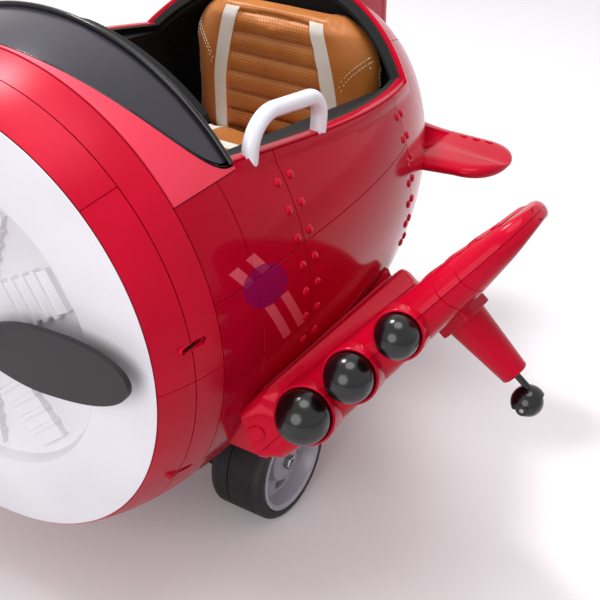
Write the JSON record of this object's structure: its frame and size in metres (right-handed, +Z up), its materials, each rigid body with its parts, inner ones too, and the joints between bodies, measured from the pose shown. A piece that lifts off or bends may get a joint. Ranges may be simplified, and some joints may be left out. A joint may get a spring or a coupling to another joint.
{
  "type": "ride-on toy airplane",
  "caption": "Child's electric ride-on airplane with a padded cockpit seat, joysticks, a spinning propeller, driven wheels, a tail caster and legs with ball casters under the wings.",
  "frame": {"origin": "on the ground, below the middle of the overall box", "axes": "+Z up, the nose looks along -Y, and +X is the rider's left"},
  "size_m": [1.2004, 1.0837, 0.749],
  "materials": {
    "body_red": "high gloss moulded",
    "deck_red": "satin",
    "nose_white": "gloss",
    "gloss_black": "high gloss",
    "matte_black": "fine grain",
    "smoke": "satin tinted",
    "trim": "matte",
    "tan_leather": "grained with channels",
    "handle_white": "gloss",
    "rim_grey": "satin",
    "tyre_rubber": "ribbed",
    "steel": "brushed",
    "frame_paint": "satin"
  },
  "bodies": {
    "airframe": {"nose_plate": "nose_white", "dummy_engine": "nose_white", "cowl_ring_front": "body_red", "cowl_ring_rear": "body_red", "deck_panel": "deck_red", "windscreen": "smoke", "windscreen_frame": "gloss_black", "side_panel_left": "body_red", "side_panel_right": "body_red", "belly_panel": "body_red", "turtledeck": "body_red", "tail_shell": "body_red", "coaming_trim": "trim", "frame_rings": "matte_black", "cockpit_tub": "matte_black", "dashboard": "matte_black", "seat_shell": "matte_black", "seat_cushion": "tan_leather", "seat_backrest": "tan_leather", "grab_handle_left": "handle_white", "grab_handle_right": "handle_white", "wing_upper_left": "body_red", "wing_upper_right": "body_red", "wing_lower_left": "body_red", "wing_lower_right": "body_red", "wing_root_rails": "body_red", "lamp_domes": "gloss_black", "wing_leg_left": "body_red", "wing_leg_right": "body_red", "stabilizer_left": "body_red", "stabilizer_right": "body_red", "tail_fin": "body_red", "chassis_frame": "frame_paint", "drive_axle": "steel", "gearbox_left": "matte_black", "gearbox_right": "matte_black", "tail_caster_socket": "matte_black", "propeller_motor": "steel", "battery": "matte_black", "control_box": "matte_black", "charge_socket": "matte_black", "rivets": "body_red", "fasteners": "steel"},
    "propeller": {"propeller_blades": "gloss_black", "spinner": "nose_white", "propeller_shaft": "steel"},
    "wheel_left": {"tyre_left": "tyre_rubber", "rim_left": "rim_grey"},
    "wheel_right": {"tyre_right": "tyre_rubber", "rim_right": "rim_grey"},
    "tail_caster": {"tail_fork": "matte_black"},
    "tail_roller": {"tail_wheel": "matte_black"},
    "wing_caster_left": {"caster_swivel_left": "gloss_black"},
    "wing_caster_right": {"caster_swivel_right": "gloss_black"},
    "wing_ball_left": {"caster_ball_left": "gloss_black"},
    "wing_ball_right": {"caster_ball_right": "gloss_black"},
    "stick_left": {"joystick_left": "matte_black"},
    "stick_right": {"joystick_right": "matte_black"},
    "start_key": {"start_button": "body_red"},
    "horn_key": {"horn_button": "nose_white"}
  },
  "joints": [
    {"name": "propeller_spin", "type": "hinge", "parent": "airframe", "child": "propeller", "pos_m": [0, -0.48, 0.41], "axis": [0, 1, 0], "continuous": true},
    {"name": "wheel_spin_left", "type": "hinge", "parent": "airframe", "child": "wheel_left", "pos_m": [0.209, -0.139, 0.085], "axis": [1, 0, 0], "continuous": true},
    {"name": "wheel_spin_right", "type": "hinge", "parent": "airframe", "child": "wheel_right", "pos_m": [-0.209, -0.139, 0.085], "axis": [1, 0, 0], "continuous": true},
    {"name": "tail_swivel", "type": "hinge", "parent": "airframe", "child": "tail_caster", "pos_m": [0, 0.236, 0.18], "axis": [0, 0, 1], "continuous": true},
    {"name": "tail_wheel_spin", "type": "hinge", "parent": "tail_caster", "child": "tail_roller", "pos_m": [0, 0.264, 0.05], "axis": [1, 0, 0], "continuous": true},
    {"name": "wing_swivel_left", "type": "hinge", "parent": "airframe", "child": "wing_caster_left", "pos_m": [0.54378, -0.154, 0.3854], "axis": [-0.788, 0, 0.6157], "continuous": true},
    {"name": "wing_ball_spin_left", "type": "hinge", "parent": "wing_caster_left", "child": "wing_ball_left", "pos_m": [0.58275, -0.154, 0.33782], "axis": [0, 1, 0], "continuous": true},
    {"name": "wing_swivel_right", "type": "hinge", "parent": "airframe", "child": "wing_caster_right", "pos_m": [-0.54378, -0.154, 0.3854], "axis": [0.788, 0, 0.6157], "continuous": true},
    {"name": "wing_ball_spin_right", "type": "hinge", "parent": "wing_caster_right", "child": "wing_ball_right", "pos_m": [-0.58275, -0.154, 0.33782], "axis": [0, 1, 0], "continuous": true},
    {"name": "stick_tilt_left", "type": "hinge", "parent": "airframe", "child": "stick_left", "pos_m": [0.07, -0.192, 0.51], "axis": [1, 0, 0], "range_deg": [-20, 20], "stiffness_Nm_per_rad": 0.5},
    {"name": "stick_tilt_right", "type": "hinge", "parent": "airframe", "child": "stick_right", "pos_m": [-0.07, -0.192, 0.51], "axis": [1, 0, 0], "range_deg": [-20, 20], "stiffness_Nm_per_rad": 0.5},
    {"name": "start_press", "type": "slide", "parent": "airframe", "child": "start_key", "axis": [0, -1, 0], "range_m": [0, 0.003], "stiffness_N_per_m": 400, "springref_m": -0.001},
    {"name": "horn_press", "type": "slide", "parent": "airframe", "child": "horn_key", "axis": [0, -1, 0], "range_m": [0, 0.003], "stiffness_N_per_m": 400, "springref_m": -0.001}
  ]
}
